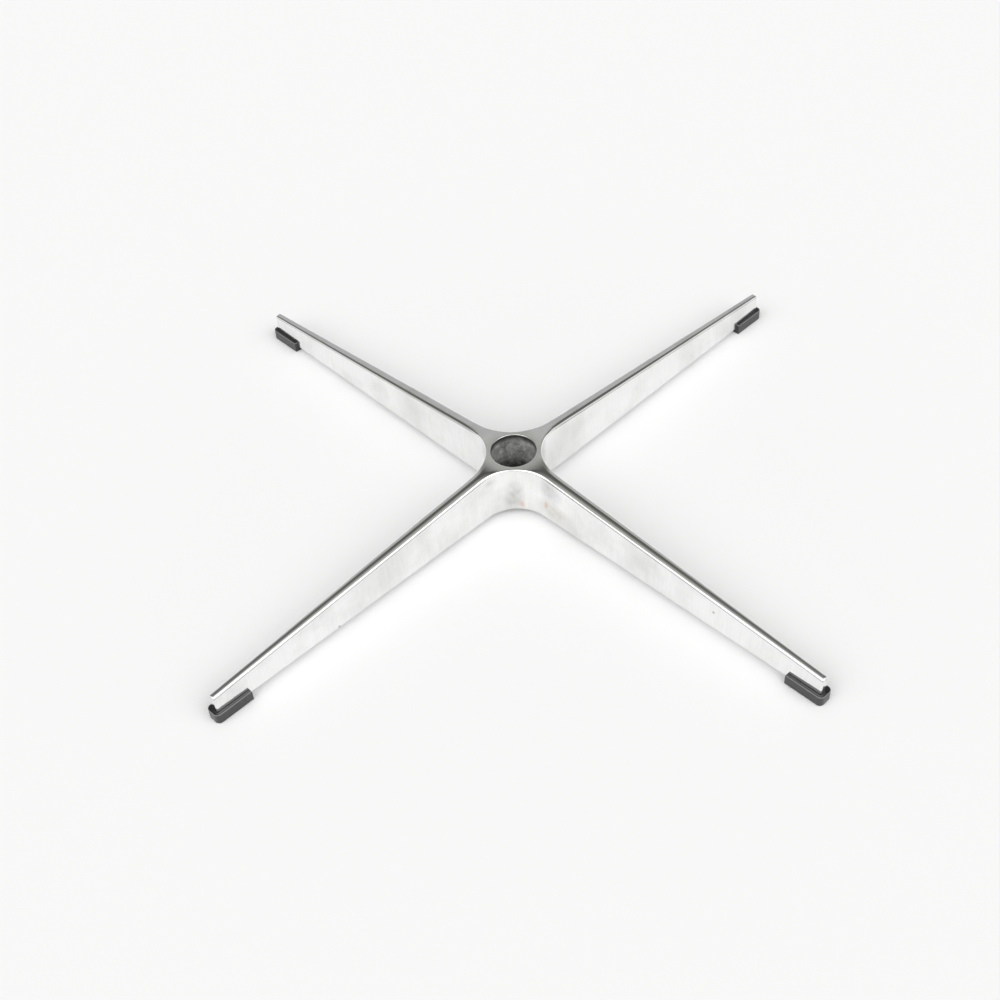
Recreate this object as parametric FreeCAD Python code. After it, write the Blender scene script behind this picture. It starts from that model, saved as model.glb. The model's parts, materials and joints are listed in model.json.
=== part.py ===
# Four star table base: one cast aluminium star with a moulded glide boot on each arm tip.
# Millimetres, +Z up, origin on the floor at the column axis, arms along +X, +Y, -X and -Y.
import FreeCAD, Part
import math
import os

from FreeCAD import Vector

# Overall sizes of the casting
arm_reach = 315.4           # column axis to the flat end of an arm
hub_height = 50.0           # floor to the flat top of the hub
tip_height = 25.5           # floor to the top of an arm at its end
hub_flat_radius = 28.0      # where the flat hub top turns into the sloping arm tops
roof_blend_radius = 150.0   # eases that turn

# Section of the arms
underside_height = 5.5      # floor to the flat underside
root_width = 15.4           # arm width at the underside, projected back to the column axis
tip_width = 7.5             # arm width at the underside, at the arm's end
side_draft = 2.5            # degrees, the sides lean in towards the top
top_edge_radius = 2.5
end_edge_radius = 1.2       # round at the flat end of an arm
bottom_bevel = 0.7

# Hub
column_bore = 38.0          # hole for the table's column
bore_chamfer = 0.7
hub_wall = 4.3              # thinnest wall, between the bore and the hollow faces between arms

# Glide boots
boot_nose = 3.4             # wall in front of the arm's end
boot_length = 33.0
boot_width = 13.5
boot_height = 9.8
boot_nose_radius = 4.0
boot_bevel = 0.7            # along the outer edges, top and bottom
boot_gap = 0.15             # room around the arm inside the boot
peg_diameter = 4.0
peg_length = 8.0
peg_gap = 0.1               # room around and above the peg in its hole

# Arms in order around the column axis
arm_names = ["east", "north", "west", "south"]
arm_step = 360.0 / len(arm_names)

taper = (root_width - tip_width) / (2.0 * arm_reach)
draft_slope = math.tan(math.radians(side_draft))
hub_radius = column_bore / 2.0 + hub_wall
peg_reach = arm_reach - boot_length / 2.0
axis_up = Vector(0, 0, 1)
centre = Vector(0, 0, 0)


def turned(shape, quarter):
    # The same shape on the next arm round
    copy = shape.copy()
    copy.rotate(centre, axis_up, arm_step * quarter)
    return copy


def half_width(height):
    # Half the arm's width at this height, projected back to the column axis
    return root_width / 2.0 - (height - underside_height) * draft_slope


def arm_corners(height, extra):
    # One arm's plan at one height: where its sides leave the hub, and its end, right side first
    root = half_width(height) + extra
    reach = arm_reach + extra
    lean = math.sqrt(1.0 + taper * taper)
    spread = (1.0 + taper) / math.sqrt(2.0)
    hollow_radius = (hub_radius * spread - root) / (lean - spread)
    hollow_centre = (hub_radius + hollow_radius) / math.sqrt(2.0)
    start = hollow_centre - hollow_radius * taper / lean
    start_half = root - taper * start
    end_half = root - taper * reach
    return [
        Vector(start, -start_half, height),
        Vector(reach, -end_half, height),
        Vector(reach, end_half, height),
        Vector(start, start_half, height),
    ]


def hollow_arc(height, corners):
    # Hollow between this arm and the next, tangent to both, with the hub's wall at its middle
    middle = hub_radius / math.sqrt(2.0)
    left = corners[3]
    return Part.Arc(left, Vector(middle, middle, height), Vector(left.y, left.x, height)).toShape()


def drafted_star(extra):
    # Star with leaning flat sides, between the underside and the hub's top
    levels = [underside_height, hub_height]
    plans = [arm_corners(height, extra) for height in levels]
    arcs = [hollow_arc(height, plan) for height, plan in zip(levels, plans)]
    low, high = plans
    walls = [
        Part.Face(Part.makePolygon([low[i], low[i + 1], high[i + 1], high[i], low[i]]))
        for i in range(len(low) - 1)
    ]
    walls.append(Part.makeRuledSurface(arcs[0], arcs[1]))
    faces = []
    for quarter in range(len(arm_names)):
        faces += [turned(wall, quarter) for wall in walls]
    for plan, arc in zip(plans, arcs):
        edges = [Part.makeLine(plan[i], plan[i + 1]) for i in range(len(plan) - 1)] + [arc]
        outline = [turned(edge, quarter) for quarter in range(len(arm_names)) for edge in edges]
        faces.append(Part.Face(Part.Wire(outline)))
    shell = Part.makeShell(faces)
    shell.sewShape()
    return Part.makeSolid(shell)


def roof_cutter():
    # What is taken off above one arm: flat hub, eased turn, then a straight slope to the tip
    slope = (hub_height - tip_height) / (arm_reach - hub_flat_radius)
    turn = math.atan(slope)
    ease = roof_blend_radius * math.tan(turn / 2.0)
    crest = hub_height + top_edge_radius
    past_end = arm_reach + boot_nose
    bend_start = Vector(hub_flat_radius - ease, 0, hub_height)
    bend_middle = Vector(
        bend_start.x + roof_blend_radius * math.sin(turn / 2.0),
        0,
        hub_height - roof_blend_radius * (1.0 - math.cos(turn / 2.0)),
    )
    bend_end = Vector(
        bend_start.x + roof_blend_radius * math.sin(turn),
        0,
        hub_height - roof_blend_radius * (1.0 - math.cos(turn)),
    )
    low_end = Vector(past_end, 0, tip_height - slope * boot_nose)
    high_end = Vector(past_end, 0, crest)
    high_start = Vector(bend_start.x, 0, crest)
    profile = Part.Wire([
        Part.Arc(bend_start, bend_middle, bend_end).toShape(),
        Part.LineSegment(bend_end, low_end).toShape(),
        Part.LineSegment(low_end, high_end).toShape(),
        Part.LineSegment(high_end, high_start).toShape(),
        Part.LineSegment(high_start, bend_start).toShape(),
    ])
    profile.translate(Vector(0, -hub_flat_radius, 0))
    return Part.Face(profile).extrude(Vector(0, 2.0 * hub_flat_radius, 0))


def facing(face):
    # 1 where a face looks up, -1 where it looks down and 0 where it is upright, at its middle
    u_low, u_high, v_low, v_high = face.ParameterRange
    return round(face.normalAt((u_low + u_high) / 2.0, (v_low + v_high) / 2.0).z)


def rim_edges(solid, side):
    # Edges where the upright walls meet the top, side 1, or the underside, side -1
    chosen = []
    for edge in solid.Edges:
        meeting = {facing(face) for face in solid.ancestorsOfType(edge, Part.Face)}
        if meeting == {0, side}:
            chosen.append(edge)
    return chosen


def at_arm_end(edge):
    # True where the whole edge lies in the flat end of an arm
    box = edge.BoundBox
    reach = max(box.XMin, -box.XMax, box.YMin, -box.YMax)
    return reach > arm_reach - Part.Precision.confusion()


def end_edges(solid):
    # The upright edges and the crown of each arm's flat end
    return [edge for edge in solid.Edges if at_arm_end(edge) and edge.BoundBox.ZMax > tip_height / 2.0]


def column_hole():
    # Straight bore right through the hub with a small bevel at each mouth
    depth = hub_height - underside_height
    radius = column_bore / 2.0
    hole = Part.makeCylinder(radius, depth, Vector(0, 0, underside_height))
    wide = radius + bore_chamfer
    top_bevel = Part.makeCone(radius, wide, bore_chamfer, Vector(0, 0, hub_height - bore_chamfer))
    low_bevel = Part.makeCone(wide, radius, bore_chamfer, Vector(0, 0, underside_height))
    return hole.fuse([top_bevel, low_bevel])


def peg(gap):
    # Moulded peg on the boot's sole, or its hole in the arm when given the gap
    radius = peg_diameter / 2.0 + gap
    foot = Vector(peg_reach, 0, underside_height)
    return Part.makeCylinder(radius, peg_length + gap, foot)


def star_base():
    star = drafted_star(0.0)
    cutter = roof_cutter()
    star = star.cut([turned(cutter, quarter) for quarter in range(len(arm_names))])
    top_edges = [edge for edge in rim_edges(star, 1) if not at_arm_end(edge)]
    star = star.makeFillet(top_edge_radius, top_edges)
    star = star.makeFillet(end_edge_radius, end_edges(star))
    star = star.makeChamfer(bottom_bevel, rim_edges(star, -1))
    holes = [turned(peg(peg_gap), quarter) for quarter in range(len(arm_names))]
    return star.cut([column_hole()] + holes)


def boot_block():
    # Outside of one boot: square at the back, rounded at the nose
    back = arm_reach + boot_nose - boot_length
    block = Part.makeBox(boot_length, boot_width, boot_height, Vector(back, -boot_width / 2.0, 0))
    front = back + boot_length
    nose = [
        edge
        for edge in block.Edges
        if edge.BoundBox.ZLength > boot_height / 2.0 and edge.BoundBox.XMin > front - boot_nose
    ]
    block = block.makeFillet(boot_nose_radius, nose)
    rims = [edge for edge in block.Edges if edge.BoundBox.ZLength < boot_height / 2.0]
    return block.makeChamfer(boot_bevel, rims)


def glide_boot():
    boot = boot_block().cut(drafted_star(boot_gap))
    return boot.fuse(peg(0.0)).removeSplitter()


def main():
    os.makedirs("parts", exist_ok=True)
    star = star_base()
    star.exportStep("parts/star_base.step")
    boot = glide_boot()
    for quarter, name in enumerate(arm_names):
        turned(boot, quarter).exportStep("parts/glide_boot_" + name + ".step")


main()
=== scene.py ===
import json
import math

import bmesh
import bpy
from mathutils import Matrix, Vector


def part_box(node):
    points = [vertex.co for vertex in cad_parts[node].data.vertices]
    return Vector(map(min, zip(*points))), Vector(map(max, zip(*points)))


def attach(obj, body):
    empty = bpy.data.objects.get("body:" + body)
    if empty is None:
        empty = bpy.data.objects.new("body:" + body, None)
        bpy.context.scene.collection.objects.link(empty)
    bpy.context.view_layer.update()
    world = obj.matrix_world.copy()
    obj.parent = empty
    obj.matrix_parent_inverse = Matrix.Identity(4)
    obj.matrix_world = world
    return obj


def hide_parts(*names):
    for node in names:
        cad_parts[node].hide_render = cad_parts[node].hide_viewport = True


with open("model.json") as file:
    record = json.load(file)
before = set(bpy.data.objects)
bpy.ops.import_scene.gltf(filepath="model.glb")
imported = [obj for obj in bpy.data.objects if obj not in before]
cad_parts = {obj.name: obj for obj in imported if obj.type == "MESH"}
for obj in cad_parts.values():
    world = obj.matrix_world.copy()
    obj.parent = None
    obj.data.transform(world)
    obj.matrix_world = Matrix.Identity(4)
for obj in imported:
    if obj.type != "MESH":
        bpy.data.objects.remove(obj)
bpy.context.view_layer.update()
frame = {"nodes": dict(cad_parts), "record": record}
mm = 0.001
slack = 0.05 * mm  # places closer than this count as one
squareOn = 0.9999  # a unit normal's part along an axis, at least, where a face is square to it
wallLift = 0.1  # a unit normal's upward part, at most, where a face is a wall
upward = Vector((0, 0, 1))
armNames = ["east", "north", "west", "south"]  # arms in order round the column axis
quarterTurn = math.tau / len(armNames)
starLow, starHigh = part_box("star_base")
bootLow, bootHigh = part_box("glide_boot_east")
boreRadius = frame["record"]["mounts"][0]["dims"]["r_mm"] * mm
print("frame loaded, nodes:", sorted(frame["nodes"]))


def hexToLinear(code):
    channels = [int(code[i:i + 2], 16) / 255 for i in (1, 3, 5)]
    linear = [c / 12.92 if c <= 0.04045 else ((c + 0.055) / 1.055) ** 2.4 for c in channels]
    return (*linear, 1.0)


def addNode(tree, kind, inputs=(), **settings):
    # inputs pair a socket's name or number with a value or with another node's socket
    node = tree.nodes.new(kind)
    for name, value in settings.items():
        setattr(node, name, value)
    for socket, value in inputs:
        if isinstance(value, bpy.types.NodeSocket):
            tree.links.new(value, node.inputs[socket])
        else:
            node.inputs[socket].default_value = value
    return node


def newMaterial(name):
    material = bpy.data.materials.new(name)
    material.use_nodes = True
    return material, material.node_tree, material.node_tree.nodes["Principled BSDF"]


def newObject(name, bm, materials):
    mesh = bpy.data.meshes.new(name)
    bm.to_mesh(mesh)
    bm.free()
    for material in materials:
        mesh.materials.append(material)
    made = bpy.data.objects.new(name, mesh)
    bpy.context.scene.collection.objects.link(made)
    return made


def finishPiece(name, bm, materials, sharpAngle):
    bmesh.ops.recalc_face_normals(bm, faces=bm.faces)
    piece = newObject(name, bm, materials)
    piece.data.shade_smooth()
    piece.data.set_sharp_from_angle(angle=math.radians(sharpAngle))
    even = piece.modifiers.new("evenNormals", "WEIGHTED_NORMAL")  # flats stay flat beside their rounds
    even.keep_sharp = True
    return piece


def bevelEdges(bm, edges, offset, segments):
    bmesh.ops.bevel(bm, geom=edges, offset=offset, offset_type="OFFSET", segments=segments,
                    profile=0.5, affect="EDGES", material=-1, clamp_overlap=False)


def facing(face):  # 1 looks up, -1 looks down, 0 is upright
    return round(face.normal.z)


def edgesBetween(bm, side):  # edges where upright faces meet the top, side 1, or the underside, side -1
    bm.normal_update()
    return [e for e in bm.edges if {facing(f) for f in e.link_faces} == {0, side}]


def shareBetween(value, start, full):  # 0 before start, 1 past full
    return min(1, max(0, (value - start) / (full - start)))


def easeBetween(value, start, full):  # the same, with soft ends
    share = shareBetween(value, start, full)
    return share * share * (3 - 2 * share)


def eachOnce(items):  # no repeats, and always in the same order
    return list(dict.fromkeys(items))


# Casting: one polished star, made as a quarter of each cap, turned round and joined by its walls
starSizes = {
    "rootWidth": 15.4,  # mm, arm width at the underside, projected back to the axis
    "tipWidth": 7.5,
    "draft": 2.5,  # degrees, sides lean in upwards
    "tipHeight": 25.5,  # floor to the arm's top at its end
    "hubFlat": 28.0,  # where the flat hub top turns into the sloping arm
    "roofBlend": 150.0,  # radius of that turn
    "hubWall": 4.3,
    "topRound": 1.6,  # by the hub
    "tipRound": 0.75,  # share of it that is left further out along the arms
    "roundEase": 60.0,  # over which it shrinks
    "roundMargin": 0.2,  # flat strip beside it
    "endRound": 1.2,
    "lowBevel": 0.7,
    "boreBevel": 0.4,
    "hubTilt": 17.0,  # degrees, how far the polished top leans to its edges, by the hub
    "tipTilt": (18.5, 11.0),  # by the tip: sides to the south and east were buffed harder
    "tiltShare": (0.2, 0.55),  # from the middle to the edge, where the lean starts and where it is full
    "tiltReach": 6.0,  # not further in from the edge than this
    "tiltEase": (24.0, 56.0),  # from the axis, where the lean begins and where it is full
    "armStations": 60,
    "columns": 4,  # in half an arm's width
    "hollowSteps": 20,  # in half a hollow
    "ringCuts": 15,  # across the hub's top, from the bore to the rounded edge
    "roundSegments": 8,
    "endSegments": 4,
    "boreSegments": 3,
    "lowSegments": 2,
    "sharpAngle": 32,
}
reach = starHigh.x
underside = starLow.z
hubTop = starHigh.z
rootHalf = starSizes["rootWidth"] / 2 * mm
taper = (starSizes["rootWidth"] - starSizes["tipWidth"]) / 2 * mm / reach
lean = math.hypot(1, taper)
draftSlope = math.tan(math.radians(starSizes["draft"]))
hubRadius = boreRadius + starSizes["hubWall"] * mm
mouthRadius = boreRadius + starSizes["boreBevel"] * mm
hubFlat = starSizes["hubFlat"] * mm
roofSlope = (hubTop - starSizes["tipHeight"] * mm) / (reach - hubFlat)
roofTurn = math.atan(roofSlope)
roofBlend = starSizes["roofBlend"] * mm
bendStart = hubFlat - roofBlend * math.tan(roofTurn / 2)
bendEnd = bendStart + roofBlend * math.sin(roofTurn)
roundReach = starSizes["topRound"] * mm / math.tan(math.radians(90 + starSizes["draft"]) / 2)
edgeStrip = roundReach + starSizes["roundMargin"] * mm  # row of faces that the rounded top edge takes


def roofHeight(along):  # flat hub, eased turn, straight slope
    if along < bendStart:
        return hubTop
    if along < bendEnd:
        return hubTop - roofBlend + math.sqrt(roofBlend ** 2 - (along - bendStart) ** 2)
    return hubTop - roofSlope * (along - hubFlat)


def flatHeight(along):
    return underside


def hollowAt(height):
    # at this height: half an arm's width at the axis, then the hollow's radius, centre and end
    half = rootHalf - (height - underside) * draftSlope
    spread = (1 + taper) / math.sqrt(2)
    radius = (hubRadius * spread - half) / (lean - spread)
    centre = (hubRadius + radius) / math.sqrt(2)
    return half, radius, centre, centre - radius * taper / lean


def sidePoint(way, height, inset):
    # an arm's left outline: way 0 to 1 is half a hollow, 1 to 2 the straight side
    half, radius, centre, rootAlong = hollowAt(height)
    if way <= 1:
        angle = (math.pi / 4 - math.atan(taper)) * way - 3 * math.pi / 4
        return centre + (radius + inset) * math.cos(angle), centre + (radius + inset) * math.sin(angle)
    along = rootAlong + (reach - rootAlong) * (way - 1)
    return along, half - taper * along


def outlinePoint(way, heightAt, inset=0):  # the outline where the leaning wall meets that cap
    along, _ = sidePoint(way, heightAt(0), inset)
    return sidePoint(way, heightAt(along), inset)


def newGrid(bm, steps):  # a flat grid of unit size; gives its vertices with their shares along and across
    grid = bmesh.ops.create_grid(bm, x_segments=steps[0], y_segments=steps[1], size=0.5)
    return [(v, v.co.x + 0.5, v.co.y + 0.5) for v in grid["verts"]]


def columnPoint(column, half):  # across an arm, from its side to its middle
    if column == 0:
        return half
    return (half - edgeStrip) * (starSizes["columns"] - column) / (starSizes["columns"] - 1)


def addCap(bm, heightAt):  # top or underside: arms, a strip along each hollow and the ring round the bore
    before = set(bm.verts)
    hollow, columns = starSizes["hollowSteps"], starSizes["columns"]
    for vert, share, side in newGrid(bm, (starSizes["armStations"], 2 * columns)):
        along, half = outlinePoint(1 + share, heightAt)
        step = round(side * 2 * columns)
        across = columnPoint(min(step, 2 * columns - step), half)
        vert.co = (along, math.copysign(across, side - 0.5), heightAt(along))
    for hand in (1, -1):
        for vert, share, side in newGrid(bm, (1, hollow)):
            along, across = outlinePoint(side, heightAt, edgeStrip * (1 - share))
            vert.co = (along, hand * across, heightAt(along))
    steps = 2 * (hollow + columns - 1)
    for vert, share, side in newGrid(bm, (1, steps)):
        step = round(side * steps)
        near = min(step, steps - step)
        along, across = outlinePoint(min(near / hollow, 1), heightAt, edgeStrip)
        if near > hollow:
            along, half = outlinePoint(1, heightAt)
            across = columnPoint(near - hollow + 1, half)
        angle = (side - 0.5) * quarterTurn
        inner = Vector((math.cos(angle), math.sin(angle))) * boreRadius
        place = inner.lerp(Vector((along, math.copysign(across, side - 0.5))), share)
        vert.co = (place.x, place.y, heightAt(place.x))
    quarter = [v for v in bm.verts if v not in before]
    edges = eachOnce(e for v in quarter for e in v.link_edges)
    faces = eachOnce(f for v in quarter for f in v.link_faces)
    bmesh.ops.spin(bm, geom=quarter + edges + faces, cent=(0, 0, 0), axis=upward,
                   angle=3 * quarterTurn, steps=3, use_duplicate=True)
    bmesh.ops.remove_doubles(bm, verts=bm.verts, dist=slack)


def isBore(edge):
    return all(v.co.xy.length < (boreRadius + mouthRadius) / 2 for v in edge.verts)


def atArmEnd(edge):
    return all(max(abs(v.co.x), abs(v.co.y)) > reach - slack for v in edge.verts)


def isEndRim(edge):  # crown and uprights of an arm's flat end
    flat = [max(abs(f.normal.x), abs(f.normal.y)) > squareOn for f in edge.link_faces]
    high = max(v.co.z for v in edge.verts) > underside + slack
    return atArmEnd(edge) and sorted(flat) == [False, True] and high


def wallGap(along, across):  # how far in from the walls a point of the top lies
    half, radius, centre, rootAlong = hollowAt(roofHeight(along))
    if along > rootAlong:
        return (half - taper * along - across) / lean
    return math.hypot(along - centre, across - centre) - radius


def cutRings(bm):  # finer rings across the hub's top
    bm.normal_update()
    spokes = []
    for edge in bm.edges:
        inside = [v.co.xy.length < mouthRadius + slack for v in edge.verts]
        if sorted(inside) == [False, True] and all(facing(f) == 1 for f in edge.link_faces):
            spokes.append(edge)
    bmesh.ops.subdivide_edges(bm, edges=spokes, cuts=starSizes["ringCuts"], use_grid_fill=True)


def shapeTop(vert):  # flat where it should be, a smaller round along the arms, then the polished lean
    across, along = sorted((abs(vert.co.x), abs(vert.co.y)))
    alongX = abs(vert.co.x) > abs(vert.co.y)
    sideAxis = 1 if alongX else 0
    roof = roofHeight(along)
    if vert.co.z < roof - (starSizes["topRound"] + starSizes["roundMargin"]) * mm:
        return
    gap = wallGap(along, across)
    if gap > roundReach - slack and vert.co.xy.length > mouthRadius - slack:
        vert.co.z = roof
    rootAlong = hollowAt(roof)[3]
    shrink = easeBetween(along, rootAlong, rootAlong + starSizes["roundEase"] * mm)
    if shrink > 0 and gap < edgeStrip - 2 * slack:
        corner = vert.co.copy()
        corner.z = roof
        corner[sideAxis] = math.copysign(wallGap(along, 0) * lean, vert.co[sideAxis])
        vert.co = corner.lerp(vert.co, 1 - (1 - starSizes["tipRound"]) * shrink)
        across = abs(vert.co[sideAxis])
    deep = min(starSizes["tiltReach"] * mm, wallGap(along, 0))
    fall = 1 - max(0, wallGap(along, across)) / deep
    start, full = starSizes["tiltShare"]
    bend = shareBetween(fall, start, full)
    drop = (full - start) * (bend ** 3 - bend ** 4 / 2) + max(0, fall - full)
    buffedHarder = vert.co.y < 0 if alongX else vert.co.x > 0
    tipTilt = starSizes["tipTilt"][0 if buffedHarder else 1]
    tilt = starSizes["hubTilt"] + (tipTilt - starSizes["hubTilt"]) * along / reach
    eased = easeBetween(along, starSizes["tiltEase"][0] * mm, starSizes["tiltEase"][1] * mm)
    vert.co.z -= deep * drop * math.tan(math.radians(tilt)) * eased


def makeStar(materials):
    bm = bmesh.new()
    addCap(bm, roofHeight)
    addCap(bm, flatHeight)
    rims = [e for e in bm.edges if e.is_boundary]
    mouths = [e for e in rims if isBore(e)]
    bmesh.ops.bridge_loops(bm, edges=[e for e in rims if e not in mouths])
    bmesh.ops.bridge_loops(bm, edges=mouths)
    bmesh.ops.recalc_face_normals(bm, faces=bm.faces)
    crest = [e for e in edgesBetween(bm, 1) if not isBore(e) and not atArmEnd(e)]
    bevelEdges(bm, crest, roundReach, starSizes["roundSegments"])
    mouths = [e for side in (1, -1) for e in edgesBetween(bm, side) if isBore(e)]
    bevelEdges(bm, mouths, starSizes["boreBevel"] * mm, starSizes["boreSegments"])
    cutRings(bm)
    for vert in bm.verts:
        shapeTop(vert)
    bm.normal_update()
    ends = [e for e in bm.edges if isEndRim(e)]
    bevelEdges(bm, ends, starSizes["endRound"] * mm, starSizes["endSegments"])
    low = [e for e in edgesBetween(bm, -1) if not isBore(e)]
    bevelEdges(bm, low, starSizes["lowBevel"] * mm, starSizes["lowSegments"])
    bm.normal_update()
    for face in bm.faces:
        if abs(face.normal.z) < wallLift and all(isBore(e) for e in face.edges):
            face.material_index = 1  # the bore is left as cast
    piece = finishPiece("polished_star", bm, materials, starSizes["sharpAngle"])
    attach(piece, "root")
    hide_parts("star_base")
    print("star:", len(piece.data.polygons), "faces")


# Glide boots: one moulded shoe, turned onto each arm's tip
bootSizes = {
    "soleHeight": 5.5,  # mm, to the arm's underside
    "wallHeight": 9.8,
    "noseRadius": 4.0,
    "edgeRound": 0.7,
    "room": 0.15,  # round the arm
    "noseSegments": 8,
    "edgeSegments": 3,
    "sharpAngle": 40,
}
slotEnd = reach + bootSizes["room"] * mm
slotHalf = rootHalf + bootSizes["room"] * mm  # at the axis, as for the arm


def topFaces(bm, height):
    bm.normal_update()
    return [f for f in bm.faces if facing(f) == 1 and abs(f.calc_center_median().z - height) < slack]


def cutTop(bm, height, point, normal):  # splits the sole's top along a line, behind the slot's end
    faces = [f for f in topFaces(bm, height) if f.calc_center_median().x < slotEnd]
    edges = eachOnce(e for f in faces for e in f.edges)
    verts = eachOnce(v for f in faces for v in f.verts)
    bmesh.ops.bisect_plane(bm, geom=verts + edges + faces, dist=slack, plane_co=point, plane_no=normal)


def outsideSlot(place):  # clear of the room that the arm's tip takes
    return place.x > slotEnd + 2 * slack or abs(place.y) > slotHalf - taper * place.x + 2 * slack


def raiseFaces(bm, faces, height):
    edges = eachOnce(e for f in faces for e in f.edges)
    lifted = bmesh.ops.extrude_face_region(bm, geom=faces + edges)["geom"]
    verts = [v for v in lifted if isinstance(v, bmesh.types.BMVert)]
    bmesh.ops.translate(bm, vec=(0, 0, height), verts=verts)
    bmesh.ops.recalc_face_normals(bm, faces=bm.faces)


def makeBoot(index, materials):
    sole = bootSizes["soleHeight"] * mm
    wall = bootSizes["wallHeight"] * mm
    size = bootHigh - bootLow
    middle = Vector(((bootHigh.x + bootLow.x) / 2, 0, 0))
    bm = bmesh.new()
    place = Matrix.Translation(middle) @ Matrix.Diagonal((size.x, size.y, 1, 1))
    bmesh.ops.create_grid(bm, x_segments=1, y_segments=1, size=0.5, matrix=place)
    nose = [v for v in bm.verts if v.co.x > middle.x]
    bmesh.ops.bevel(bm, geom=nose, offset=bootSizes["noseRadius"] * mm, offset_type="OFFSET",
                    segments=bootSizes["noseSegments"], profile=0.5, affect="VERTICES", material=-1)
    raiseFaces(bm, list(bm.faces), sole)
    cutTop(bm, sole, (slotEnd, 0, sole), (1, 0, 0))
    for side in (1, -1):
        cutTop(bm, sole, (0, side * slotHalf, sole), (taper, side, 0))
    walls = [f for f in topFaces(bm, sole) if outsideSlot(f.calc_center_median())]
    raiseFaces(bm, walls, wall - sole)
    rims = [e for side in (1, -1) for e in edgesBetween(bm, side)]
    outer = [e for e in rims if outsideSlot((e.verts[0].co + e.verts[1].co) / 2)]
    bevelEdges(bm, outer, bootSizes["edgeRound"] * mm, bootSizes["edgeSegments"])
    turn = Matrix.Rotation(index * quarterTurn, 3, "Z")
    bmesh.ops.rotate(bm, cent=(0, 0, 0), matrix=turn, verts=bm.verts)
    piece = finishPiece("moulded_boot_" + armNames[index], bm, materials, bootSizes["sharpAngle"])
    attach(piece, "root")
    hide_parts("glide_boot_" + armNames[index])
    print("boot", armNames[index] + ":", len(piece.data.polygons), "faces")


# Polished metal: cast aluminium, ground and buffed to a soft mirror with faint upright lines and a few
# pits, and a painted shade line under the rounded top edges
polish = {
    "bright": "#f9f9f9",
    "dull": "#e0e0df",
    "roughness": (0.09, 0.19),
    "roughest": 0.8,  # dullness that gives the larger of these
    "clouds": 45.0,  # mm, how far apart the duller patches are
    "cloudRange": (0.45, 0.72),
    "cloudStrength": 0.7,
    "buffing": 1.3,  # mm between buffing lines, drawn coarser than real ones so that they show
    "buffingLength": 40.0,
    "buffingStrength": 0.6,
    "buffingDepth": 0.03,
    "buffingBump": 0.25,
    "sideFacing": (0.7, 0.1),  # upward part of the normal, between which the lines fade in on the sides
    "ripple": 14.0,  # mm, unevenness that the hand polishing leaves
    "rippleDepth": 0.12,
    "rippleBump": 0.22,
    # painted shade: colour of the dark line under each arm's rounded top edge
    "creaseShade": "#45453f",
    "creaseDepth": 1.8,  # mm below an arm's top, where a fine line of painted shade runs under the rounded edge
    "creaseWidth": 0.45,
    "creaseShadeStrength": 0.8,
    "creaseStart": (30.0, 46.0),  # mm from the axis, between which that line fades in
    "pit": "#55544f",
    "pits": 26.0,  # mm apart
    "pitSize": 0.55,
    "ragged": 5.0,  # mm, how the marks' edges wander
    "markCore": 0.1,  # share of a mark's size in which it is full
    # place, width and height in mm, colour and strength
    "marks": [
        ((16.4, -16.6, 22.0), 11.0, 25.0, "#aeaeaa", 0.9),  # smudges on the front of the hub
        ((13.2, -20.2, 15.0), 8.0, 13.0, "#aeaeaa", 0.6),
        ((47.0, -5.6, 37.0), 16.0, 17.0, "#adaeae", 0.95),
        ((6.5, -34.5, 42.0), 8.0, 5.0, "#a6a6a4", 0.55),
        ((50.0, -6.4, 17.0), 24.0, 13.0, "#b4ae9c", 0.8),  # brown stain
        ((20.7, -12.9, 11.0), 3.0, 6.0, "#d2935f", 0.8),  # orange stains
        ((42.0, -6.5, 20.0), 2.8, 5.5, "#d29a6c", 0.75),
        ((215.5, -4.3, 22.2), 1.7, 1.5, "#4f4f4c", 1.6),  # larger pits
        ((5.2, -199.1, 6.7), 1.5, 1.3, "#4f4f4c", 1.6),
    ],
}


def addMarks(tree, place, colour):
    wander = addNode(tree, "ShaderNodeTexNoise",
                     [("Vector", place), ("Scale", 1 / (polish["ragged"] * mm)), ("Detail", 3.0)])
    for middle, width, height, tone, strength in polish["marks"]:
        shrink = Vector((1 / (width * mm), 1 / (width * mm), 1 / (height * mm)))
        offset = -Vector(middle) * mm * shrink
        spot = addNode(tree, "ShaderNodeMapping",
                       [("Vector", place), ("Scale", shrink), ("Location", offset)])
        away = addNode(tree, "ShaderNodeVectorMath", [(0, spot.outputs[0])], operation="LENGTH")
        near = addNode(tree, "ShaderNodeMapRange",
                       [(0, away.outputs["Value"]), (1, 1.0), (2, polish["markCore"]), (4, strength)],
                       interpolation_type="SMOOTHSTEP")
        ragged = addNode(tree, "ShaderNodeMath", [(0, near.outputs[0]), (1, wander.outputs[0])],
                         operation="MULTIPLY")
        mixed = addNode(tree, "ShaderNodeMix",
                        [("Factor", ragged.outputs[0]), ("A", colour), ("B", hexToLinear(tone))],
                        data_type="RGBA")
        colour = mixed.outputs["Result"]
    return colour


# painted shade: a fine dark line along each arm's side just under the rounded top, where the round meets
# the side
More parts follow.
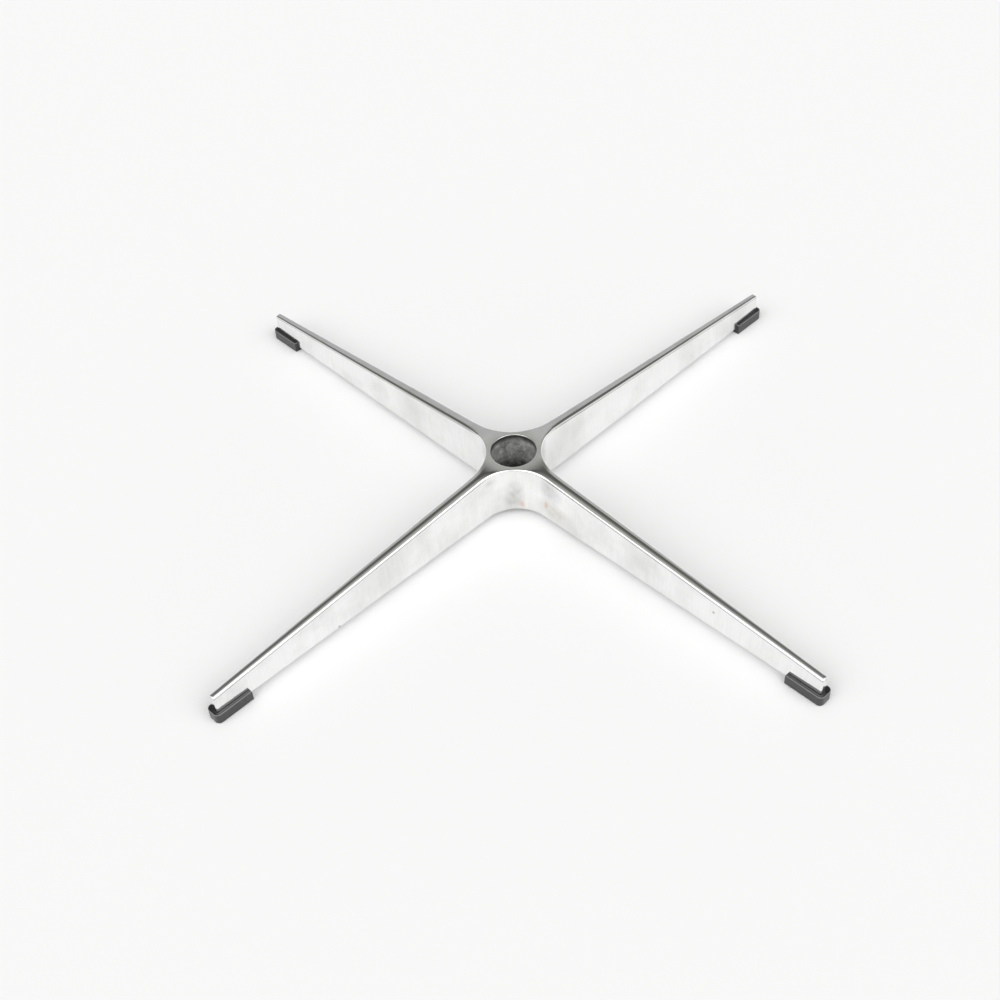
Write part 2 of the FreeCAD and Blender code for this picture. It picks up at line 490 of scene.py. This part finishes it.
def addCreaseShade(tree, place, colour):
    axes = addNode(tree, "ShaderNodeSeparateXYZ", [(0, place)])
    sizeX = addNode(tree, "ShaderNodeMath", [(0, axes.outputs["X"])], operation="ABSOLUTE")
    sizeY = addNode(tree, "ShaderNodeMath", [(0, axes.outputs["Y"])], operation="ABSOLUTE")
    along = addNode(tree, "ShaderNodeMath", [(0, sizeX.outputs[0]), (1, sizeY.outputs[0])],
                    operation="MAXIMUM")
    level = addNode(tree, "ShaderNodeMath",
                    [(0, along.outputs[0]), (1, roofSlope), (2, axes.outputs["Z"])],
                    operation="MULTIPLY_ADD")  # the same all along the straight slope of an arm
    lineLevel = hubTop + roofSlope * hubFlat - polish["creaseDepth"] * mm
    below = addNode(tree, "ShaderNodeMath", [(0, level.outputs[0]), (1, lineLevel)],
                    operation="SUBTRACT")
    away = addNode(tree, "ShaderNodeMath", [(0, below.outputs[0])], operation="ABSOLUTE")
    line = addNode(tree, "ShaderNodeMapRange",
                   [(0, away.outputs[0]), (1, polish["creaseWidth"] * mm), (2, 0.0),
                    (4, polish["creaseShadeStrength"])],
                   interpolation_type="SMOOTHSTEP")
    start, full = polish["creaseStart"]
    onArm = addNode(tree, "ShaderNodeMapRange",
                    [(0, along.outputs[0]), (1, start * mm), (2, full * mm)])
    shown = addNode(tree, "ShaderNodeMath", [(0, line.outputs[0]), (1, onArm.outputs[0])],
                    operation="MULTIPLY")
    mixed = addNode(tree, "ShaderNodeMix",
                    [("Factor", shown.outputs[0]), ("A", colour), ("B", hexToLinear(polish["creaseShade"]))],
                    data_type="RGBA")
    return mixed.outputs["Result"]


def addPits(tree, place, colour):
    cells = addNode(tree, "ShaderNodeTexVoronoi",
                    [("Vector", place), ("Scale", 1 / (polish["pits"] * mm))])
    chosen = addNode(tree, "ShaderNodeSeparateColor", [(0, cells.outputs["Color"])])
    size = addNode(tree, "ShaderNodeMath",
                   [(0, chosen.outputs[0]), (1, polish["pitSize"] / polish["pits"])],
                   operation="MULTIPLY")
    pits = addNode(tree, "ShaderNodeMath", [(0, cells.outputs["Distance"]), (1, size.outputs[0])],
                   operation="LESS_THAN")
    mixed = addNode(tree, "ShaderNodeMix",
                    [("Factor", pits.outputs[0]), ("A", colour), ("B", hexToLinear(polish["pit"]))],
                    data_type="RGBA")
    return mixed.outputs["Result"]


def polishedAluminium():
    material, tree, shader = newMaterial("polishedCastAluminium")
    coords = addNode(tree, "ShaderNodeTexCoord")
    place = coords.outputs["Object"]
    normal = addNode(tree, "ShaderNodeSeparateXYZ", [(0, coords.outputs["Normal"])])
    lift = addNode(tree, "ShaderNodeMath", [(0, normal.outputs["Z"])], operation="ABSOLUTE")
    onTop, onSide = polish["sideFacing"]
    sides = addNode(tree, "ShaderNodeMapRange", [(0, lift.outputs[0]), (1, onTop), (2, onSide)])
    clouds = addNode(tree, "ShaderNodeTexNoise",
                     [("Vector", place), ("Scale", 1 / (polish["clouds"] * mm)), ("Detail", 4.0),
                      ("Roughness", 0.6)])
    fine, tall = 1 / (polish["buffing"] * mm), 1 / (polish["buffingLength"] * mm)
    lines = addNode(tree, "ShaderNodeMapping", [("Vector", place), ("Scale", (fine, fine, tall))])
    buffing = addNode(tree, "ShaderNodeTexNoise",
                      [("Vector", lines.outputs[0]), ("Scale", 1.0), ("Detail", 3.0)])
    sideLines = addNode(tree, "ShaderNodeMath", [(0, buffing.outputs[0]), (1, sides.outputs[0])],
                        operation="MULTIPLY")
    clear, cloudy = polish["cloudRange"]
    patchy = addNode(tree, "ShaderNodeMapRange",
                     [(0, clouds.outputs[0]), (1, clear), (2, cloudy), (4, polish["cloudStrength"])])
    dullness = addNode(tree, "ShaderNodeMath",
                       [(0, sideLines.outputs[0]), (1, polish["buffingStrength"]),
                        (2, patchy.outputs[0])],
                       operation="MULTIPLY_ADD", use_clamp=True)
    metal = addNode(tree, "ShaderNodeMix",
                    [("Factor", dullness.outputs[0]), ("A", hexToLinear(polish["bright"])),
                     ("B", hexToLinear(polish["dull"]))],
                    data_type="RGBA")
    colour = addMarks(tree, place, metal.outputs["Result"])
    colour = addCreaseShade(tree, place, colour)
    colour = addPits(tree, place, colour)
    smooth, worn = polish["roughness"]
    rough = addNode(tree, "ShaderNodeMapRange",
                    [(0, dullness.outputs[0]), (2, polish["roughest"]), (3, smooth), (4, worn)])
    ripple = addNode(tree, "ShaderNodeTexNoise",
                     [("Vector", place), ("Scale", 1 / (polish["ripple"] * mm)), ("Detail", 2.0)])
    waves = addNode(tree, "ShaderNodeBump",
                    [("Height", ripple.outputs[0]), ("Strength", polish["rippleBump"]),
                     ("Distance", polish["rippleDepth"] * mm)])
    combed = addNode(tree, "ShaderNodeBump",
                     [("Height", sideLines.outputs[0]), ("Strength", polish["buffingBump"]),
                      ("Distance", polish["buffingDepth"] * mm), ("Normal", waves.outputs[0])])
    tree.links.new(colour, shader.inputs["Base Color"])
    tree.links.new(rough.outputs[0], shader.inputs["Roughness"])
    tree.links.new(combed.outputs[0], shader.inputs["Normal"])
    shader.inputs["Metallic"].default_value = 1.0
    return material


# Bore: the same metal as the mould left it, grey with oxide, coarse and mottled, darker towards the bottom,
# with a painted shade ring under the mouth
castSkin = {
    "light": "#d6d6d4",
    "dark": "#83837f",
    # dark colour for the wall's darkening towards the bottom and for the painted shade ring under the mouth
    "darkeningAndRimShade": "#2e2e2d",
    "darkeningLevel": (38.0, 18.0),  # mm above the floor, between which the wall darkens towards the bottom
    "darkeningUneven": 14.0,
    "mouth": (43.0, 47.5),  # and between which a painted shade ring darkens the wall up to the mouth
    "mouthStrength": 0.9,
    "mottle": 5.0,  # mm
    "mottleRange": (0.32, 0.68),
    "grain": 0.9,
    "grainDepth": 0.25,
    "grainBump": 0.7,
    "roughness": (0.5, 0.75),
    "roughRange": (0.3, 0.7),  # of the mottle
    "metallic": 0.5,
}


def castBore():
    material, tree, shader = newMaterial("roughCastAluminium")
    place = addNode(tree, "ShaderNodeTexCoord").outputs["Object"]
    mottle = addNode(tree, "ShaderNodeTexNoise",
                     [("Vector", place), ("Scale", 1 / (castSkin["mottle"] * mm)), ("Detail", 5.0),
                      ("Roughness", 0.65)])
    dark, light = castSkin["mottleRange"]
    spread = addNode(tree, "ShaderNodeMapRange", [(0, mottle.outputs[0]), (1, dark), (2, light)])
    metal = addNode(tree, "ShaderNodeMix",
                    [("Factor", spread.outputs[0]), ("A", hexToLinear(castSkin["dark"])),
                     ("B", hexToLinear(castSkin["light"]))],
                    data_type="RGBA")
    height = addNode(tree, "ShaderNodeSeparateXYZ", [(0, place)])
    # the wall gets darker towards the bottom of the bore, along a wandering level
    uneven = addNode(tree, "ShaderNodeMath",
                     [(0, mottle.outputs[0]), (1, castSkin["darkeningUneven"] * mm),
                      (2, height.outputs["Z"])],
                     operation="MULTIPLY_ADD")
    clean, grimy = castSkin["darkeningLevel"]
    low = addNode(tree, "ShaderNodeMapRange",
                  [(0, uneven.outputs[0]), (1, clean * mm), (2, grimy * mm)],
                  interpolation_type="SMOOTHSTEP")
    # painted shade: a dark ring just under the bore's mouth
    start, full = castSkin["mouth"]
    high = addNode(tree, "ShaderNodeMapRange",
                   [(0, height.outputs["Z"]), (1, start * mm), (2, full * mm),
                    (4, castSkin["mouthStrength"])])
    darkeningAndRimShade = addNode(tree, "ShaderNodeMath", [(0, low.outputs[0]), (1, high.outputs[0])],
                    operation="MAXIMUM")
    colour = addNode(tree, "ShaderNodeMix",
                     [("Factor", darkeningAndRimShade.outputs[0]), ("A", metal.outputs["Result"]),
                      ("B", hexToLinear(castSkin["darkeningAndRimShade"]))],
                     data_type="RGBA")
    least, most = castSkin["roughRange"]
    smooth, coarse = castSkin["roughness"]
    rough = addNode(tree, "ShaderNodeMapRange",
                    [(0, mottle.outputs[0]), (1, least), (2, most), (3, smooth), (4, coarse)])
    grain = addNode(tree, "ShaderNodeTexNoise",
                    [("Vector", place), ("Scale", 1 / (castSkin["grain"] * mm)), ("Detail", 3.0)])
    bump = addNode(tree, "ShaderNodeBump",
                   [("Height", grain.outputs[0]), ("Strength", castSkin["grainBump"]),
                    ("Distance", castSkin["grainDepth"] * mm)])
    tree.links.new(colour.outputs["Result"], shader.inputs["Base Color"])
    tree.links.new(rough.outputs[0], shader.inputs["Roughness"])
    tree.links.new(bump.outputs[0], shader.inputs["Normal"])
    shader.inputs["Metallic"].default_value = castSkin["metallic"]
    return material


# Boots: black nylon from a spark-eroded mould, with a fine matt grain, a soft grey sheen, dusty scuffs and
# a grey painted highlight along the moulded edges
nylonSkin = {
    "black": "#0e0e0f",
    "worn": "#232324",
    "scuffs": 6.0,  # mm
    "scuffRange": (0.4, 0.75),
    "edge": "#8f8f90",  # painted highlight along the moulded edges
    "edgeLift": 0.6,  # upward part of the normal in the middle of such an edge
    "edgeHighlightReach": (0.35, 0.1),
    "edgeHighlightStrength": 0.9,
    "grain": 0.55,  # mm, coarser than the real texture so that it shows
    "grainDepth": 0.1,
    "grainBump": 0.45,
    "roughness": (0.24, 0.36),
    "roughRange": (0.3, 0.7),  # of the scuffs
    "ior": 1.53,
    "specular": 0.85,  # a light bloom on the moulded skin
}


def mouldedNylon():
    material, tree, shader = newMaterial("mouldedBlackNylon")
    coords = addNode(tree, "ShaderNodeTexCoord")
    place = coords.outputs["Object"]
    grain = addNode(tree, "ShaderNodeTexNoise",
                    [("Vector", place), ("Scale", 1 / (nylonSkin["grain"] * mm)), ("Detail", 2.0)])
    scuffs = addNode(tree, "ShaderNodeTexNoise",
                     [("Vector", place), ("Scale", 1 / (nylonSkin["scuffs"] * mm)), ("Detail", 5.0),
                      ("Roughness", 0.7)])
    clear, scuffed = nylonSkin["scuffRange"]
    worn = addNode(tree, "ShaderNodeMapRange", [(0, scuffs.outputs[0]), (1, clear), (2, scuffed)])
    skin = addNode(tree, "ShaderNodeMix",
                   [("Factor", worn.outputs[0]), ("A", hexToLinear(nylonSkin["black"])),
                    ("B", hexToLinear(nylonSkin["worn"]))],
                   data_type="RGBA")
    # painted highlight: lighter on the rounded edges whose normal leans about halfway up
    normal = addNode(tree, "ShaderNodeSeparateXYZ", [(0, coords.outputs["Normal"])])
    tilt = addNode(tree, "ShaderNodeMath", [(0, normal.outputs["Z"]), (1, nylonSkin["edgeLift"])],
                   operation="SUBTRACT")
    away = addNode(tree, "ShaderNodeMath", [(0, tilt.outputs[0])], operation="ABSOLUTE")
    outside, inside = nylonSkin["edgeHighlightReach"]
    edge = addNode(tree, "ShaderNodeMapRange",
                   [(0, away.outputs[0]), (1, outside), (2, inside), (4, nylonSkin["edgeHighlightStrength"])])
    colour = addNode(tree, "ShaderNodeMix",
                     [("Factor", edge.outputs[0]), ("A", skin.outputs["Result"]),
                      ("B", hexToLinear(nylonSkin["edge"]))],
                     data_type="RGBA")
    least, most = nylonSkin["roughRange"]
    smooth, coarse = nylonSkin["roughness"]
    rough = addNode(tree, "ShaderNodeMapRange",
                    [(0, scuffs.outputs[0]), (1, least), (2, most), (3, smooth), (4, coarse)])
    bump = addNode(tree, "ShaderNodeBump",
                   [("Height", grain.outputs[0]), ("Strength", nylonSkin["grainBump"]),
                    ("Distance", nylonSkin["grainDepth"] * mm)])
    tree.links.new(colour.outputs["Result"], shader.inputs["Base Color"])
    tree.links.new(rough.outputs[0], shader.inputs["Roughness"])
    tree.links.new(bump.outputs[0], shader.inputs["Normal"])
    shader.inputs["IOR"].default_value = nylonSkin["ior"]
    shader.inputs["Specular IOR Level"].default_value = nylonSkin["specular"]
    return material


aluminium, bore, nylon = polishedAluminium(), castBore(), mouldedNylon()
print("materials ready")
makeStar([aluminium, bore])
for index in range(len(armNames)):
    makeBoot(index, [nylon])

# Studio: pale floor, and soft light that runs overhead from behind the object to behind the camera
studio = {
    "floorColour": "#f4f4f4",
    "floorSize": 40.0,  # m
    "floorDrop": 0.2,  # mm, just clear of the boots' soles
    "floorRoughness": (0.85, 0.95),
    "floorPatches": 500.0,  # mm, over which that changes
    "lens": 53.315,  # mm on a 36 mm frame
    "clipStart": 10.0,  # mm
    "place": (0.64835, -0.59010, 0.88638),
    "heading": 48.623,  # degrees
    "pitch": 45.52,
    "roll": -4.62,
    # degrees from the floor behind the object, over the top, to the floor behind the camera, and brightness
    "sky": [
        (0, 0.75), (6, 0.52), (14, 0.45), (24, 0.43), (32, 0.43), (39, 0.45), (43, 0.42), (45.5, 0.35),
        (47.5, 0.22), (49.5, 0.09), (51, 0.06), (53, 0.09), (55, 0.12), (58, 0.145), (61, 0.185),
        (64, 0.25), (70, 0.37), (76, 0.46), (82, 0.62), (88, 0.88), (92, 1.0), (108, 1.0), (116, 0.8),
        (150, 0.75), (180, 0.85),
    ],
    "warmSky": (40, 80),  # degrees, the darker part, with a little less blue
    "warmth": 0.94,
    "lamp": 1.68,  # added over that in two soft round patches
    "lampWay": (-0.5, 0.5, 0.707),  # ahead, to either side, up
    "lampSize": (32.0, 14.0),  # degrees from the middle, where a patch ends and where it is full
    "lowFront": 0.75,  # how much of the light is missing low down on the camera's side
    "frontFrom": (0.5, 0.6),  # share of the way over, between which that begins
    "frontBelow": (0.4, 0.25),  # and the upward part of the direction
    "horizon": 0.94,  # brightness of the plain backdrop all round
    "horizonTop": (0.19, 0.26),  # where it gives way to the sky
}


def makeFloor():
    material, tree, shader = newMaterial("paleFloor")
    place = addNode(tree, "ShaderNodeTexCoord").outputs["Object"]
    patches = addNode(tree, "ShaderNodeTexNoise",
                      [("Vector", place), ("Scale", 1 / (studio["floorPatches"] * mm))])
    smooth, coarse = studio["floorRoughness"]
    rough = addNode(tree, "ShaderNodeMapRange", [(0, patches.outputs[0]), (3, smooth), (4, coarse)])
    tree.links.new(rough.outputs[0], shader.inputs["Roughness"])
    shader.inputs["Base Color"].default_value = hexToLinear(studio["floorColour"])
    shader.inputs["Specular IOR Level"].default_value = 0.0
    bm = bmesh.new()
    drop = Matrix.Translation((0, 0, -studio["floorDrop"] * mm))
    bmesh.ops.create_grid(bm, x_segments=1, y_segments=1, size=studio["floorSize"] / 2, matrix=drop)
    newObject("floor", bm, [material])


def makeCamera():
    camera = bpy.data.objects.new("camera", bpy.data.cameras.new("camera"))
    camera.data.lens = studio["lens"]
    camera.data.clip_start = studio["clipStart"] * mm
    turn = Matrix.Rotation(math.radians(studio["heading"]), 4, "Z")
    tip = Matrix.Rotation(math.radians(90 - studio["pitch"]), 4, "X")
    roll = Matrix.Rotation(math.radians(studio["roll"]), 4, "Z")
    camera.matrix_world = Matrix.Translation(studio["place"]) @ turn @ tip @ roll
    bpy.context.scene.collection.objects.link(camera)
    bpy.context.scene.camera = camera


def addLamps(tree, direction, forward, sky):
    back, side, rise = studio["lampWay"]
    sideways = forward.cross(upward)
    near = []
    for hand in (1, -1):
        way = forward * back + sideways * hand * side + upward * rise
        near.append(addNode(tree, "ShaderNodeVectorMath", [(0, direction), (1, way)],
                            operation="DOT_PRODUCT"))
    nearest = addNode(tree, "ShaderNodeMath", [(i, near[i].outputs["Value"]) for i in (0, 1)],
                      operation="MAXIMUM")
    outside, inside = (math.cos(math.radians(angle)) for angle in studio["lampSize"])
    lamp = addNode(tree, "ShaderNodeMapRange",
                   [(0, nearest.outputs[0]), (1, outside), (2, inside), (4, studio["lamp"])],
                   interpolation_type="SMOOTHSTEP")
    return addNode(tree, "ShaderNodeVectorMath", [(0, sky), (1, lamp.outputs[0])],
                   operation="ADD").outputs[0]


def makeLight():
    world = bpy.data.worlds.new("studio")
    bpy.context.scene.world = world
    world.use_nodes = True
    tree = world.node_tree
    direction = addNode(tree, "ShaderNodeTexCoord").outputs["Generated"]
    heading = math.radians(studio["heading"])
    forward = Vector((-math.sin(heading), math.cos(heading), 0))
    ahead = addNode(tree, "ShaderNodeVectorMath", [(0, direction), (1, forward)],
                    operation="DOT_PRODUCT")
    rise = addNode(tree, "ShaderNodeSeparateXYZ", [(0, direction)]).outputs["Z"]
    sweep = addNode(tree, "ShaderNodeMath", [(0, rise), (1, ahead.outputs["Value"])],
                    operation="ARCTAN2")
    over = addNode(tree, "ShaderNodeMath", [(0, sweep.outputs[0]), (1, math.pi)],
                   operation="DIVIDE", use_clamp=True)
    ramp = addNode(tree, "ShaderNodeValToRGB", [(0, over.outputs[0])])
    steps = ramp.color_ramp.elements
    while len(steps) < len(studio["sky"]):
        steps.new(0.5)
    for step, (angle, _) in zip(steps, studio["sky"]):
        step.position = angle / 180
    warmStart, warmEnd = studio["warmSky"]
    for step, (angle, level) in zip(steps, studio["sky"]):
        blue = studio["warmth"] if warmStart < angle < warmEnd else 1
        step.color = (level, level, level * blue, 1)
    sky = addLamps(tree, direction, forward, ramp.outputs[0])
    start, full = studio["frontFrom"]
    front = addNode(tree, "ShaderNodeMapRange",
                    [(0, over.outputs[0]), (1, start), (2, full), (4, studio["lowFront"])])
    start, full = studio["frontBelow"]
    low = addNode(tree, "ShaderNodeMapRange", [(0, rise), (1, start), (2, full)])
    missing = addNode(tree, "ShaderNodeMath", [(0, front.outputs[0]), (1, low.outputs[0])],
                      operation="MULTIPLY")
    kept = addNode(tree, "ShaderNodeMath", [(0, 1.0), (1, missing.outputs[0])], operation="SUBTRACT")
    dimmed = addNode(tree, "ShaderNodeVectorMath", [(0, sky), ("Scale", kept.outputs[0])],
                     operation="SCALE")
    start, full = studio["horizonTop"]
    above = addNode(tree, "ShaderNodeMapRange", [(0, rise), (1, start), (2, full)])
    level = studio["horizon"]
    colour = addNode(tree, "ShaderNodeMix",
                     [("Factor", above.outputs[0]), ("A", (level, level, level, 1)),
                      ("B", dimmed.outputs[0])],
                     data_type="RGBA")
    tree.links.new(colour.outputs["Result"], tree.nodes["Background"].inputs["Color"])


makeFloor()
makeCamera()
makeLight()
bpy.context.scene.view_settings.view_transform = "Standard"
print("studio ready")
